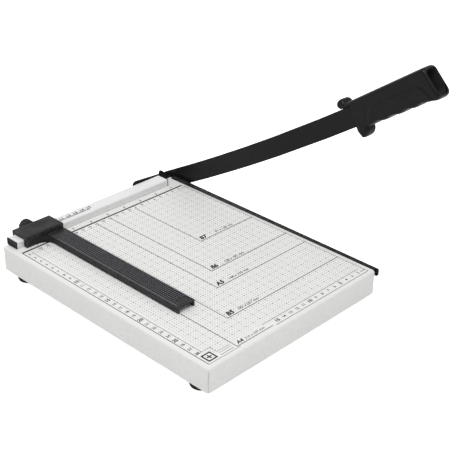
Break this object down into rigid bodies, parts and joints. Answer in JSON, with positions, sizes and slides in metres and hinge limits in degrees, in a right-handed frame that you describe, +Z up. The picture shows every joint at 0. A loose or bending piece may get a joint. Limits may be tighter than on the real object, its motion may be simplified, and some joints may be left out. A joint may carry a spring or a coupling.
{
  "type": "guillotine paper cutter",
  "caption": "Lever-arm paper cutter: enamelled table with a fence, a fixed blade on its right edge, a sprung pivoting arm with a grip, and a clamped sliding paper guide.",
  "frame": {"origin": "middle of the bounding box in X and Y, on the surface that the feet stand on", "axes": "+X from the table toward the cutting edge, +Y from the user toward the fence and the pivot, +Z up"},
  "size_m": [0.2796, 0.3932, 0.2703],
  "materials": {
    "enamel": "satin off-white enamel",
    "black_paint": "semi-matt black paint",
    "black_plastic": "fine moulded grain",
    "guide_plastic": "ribbed, satin",
    "rubber": "matt",
    "zinc": "bright zinc plate",
    "black_oxide": "black oxide"
  },
  "bodies": {
    "table": {"base_tray": "enamel", "foot_front_left": "rubber", "foot_front_right": "rubber", "foot_back_left": "rubber", "foot_back_right": "rubber", "foot_screw_front_left": "zinc", "foot_screw_front_right": "zinc", "foot_screw_back_left": "zinc", "foot_screw_back_right": "zinc", "fence_rail": "enamel", "rail_plug_left": "black_plastic", "rail_plug_right": "black_plastic", "rail_rivet_1": "zinc", "rail_rivet_2": "zinc", "rail_rivet_3": "zinc", "fixed_blade": "black_paint", "fixed_blade_screw_1": "zinc", "fixed_blade_screw_2": "zinc", "fixed_blade_screw_3": "zinc", "fixed_blade_screw_4": "zinc", "pivot_bracket": "black_paint", "bracket_bolt_1": "black_oxide", "bracket_bolt_2": "black_oxide", "bracket_nut_1": "zinc", "bracket_nut_2": "zinc", "pivot_bolt": "zinc", "pivot_bush": "zinc", "pivot_washer_inner": "zinc", "pivot_spring": "zinc", "pivot_washer_outer": "zinc", "pivot_lock_nut": "zinc"},
    "arm": {"cutting_arm": "black_paint", "handle": "black_plastic", "handle_screw_1": "zinc", "handle_screw_2": "zinc"},
    "guide": {"paper_guide": "guide_plastic"},
    "clamp_pad_body": {"clamp_pad": "rubber"},
    "clamp_screw": {"clamp_stud": "zinc", "clamp_knob": "black_plastic"}
  },
  "joints": [
    {"name": "arm_pivot", "type": "hinge", "parent": "table", "child": "arm", "pos_m": [0.1158, 0.18594, 0.0247], "axis": [-1, 0, 0], "range_deg": [-30, 35]},
    {"name": "guide_slide", "type": "slide", "parent": "table", "child": "guide", "axis": [1, 0, 0], "range_m": [-0.0095, 0.124]},
    {"name": "clamp_feed", "type": "slide", "parent": "guide", "child": "clamp_pad_body", "axis": [0, 1, 0], "range_m": [0, 0.00081]},
    {"name": "clamp_turn", "type": "hinge", "parent": "clamp_pad_body", "child": "clamp_screw", "pos_m": [-0.0987, 0.17944, 0.04], "axis": [0, 1, 0], "range_deg": [0, 360]}
  ],
  "couplings": [
    {"joint": "clamp_feed", "follows": "clamp_turn", "m_per_rad": 0.00012732}
  ]
}
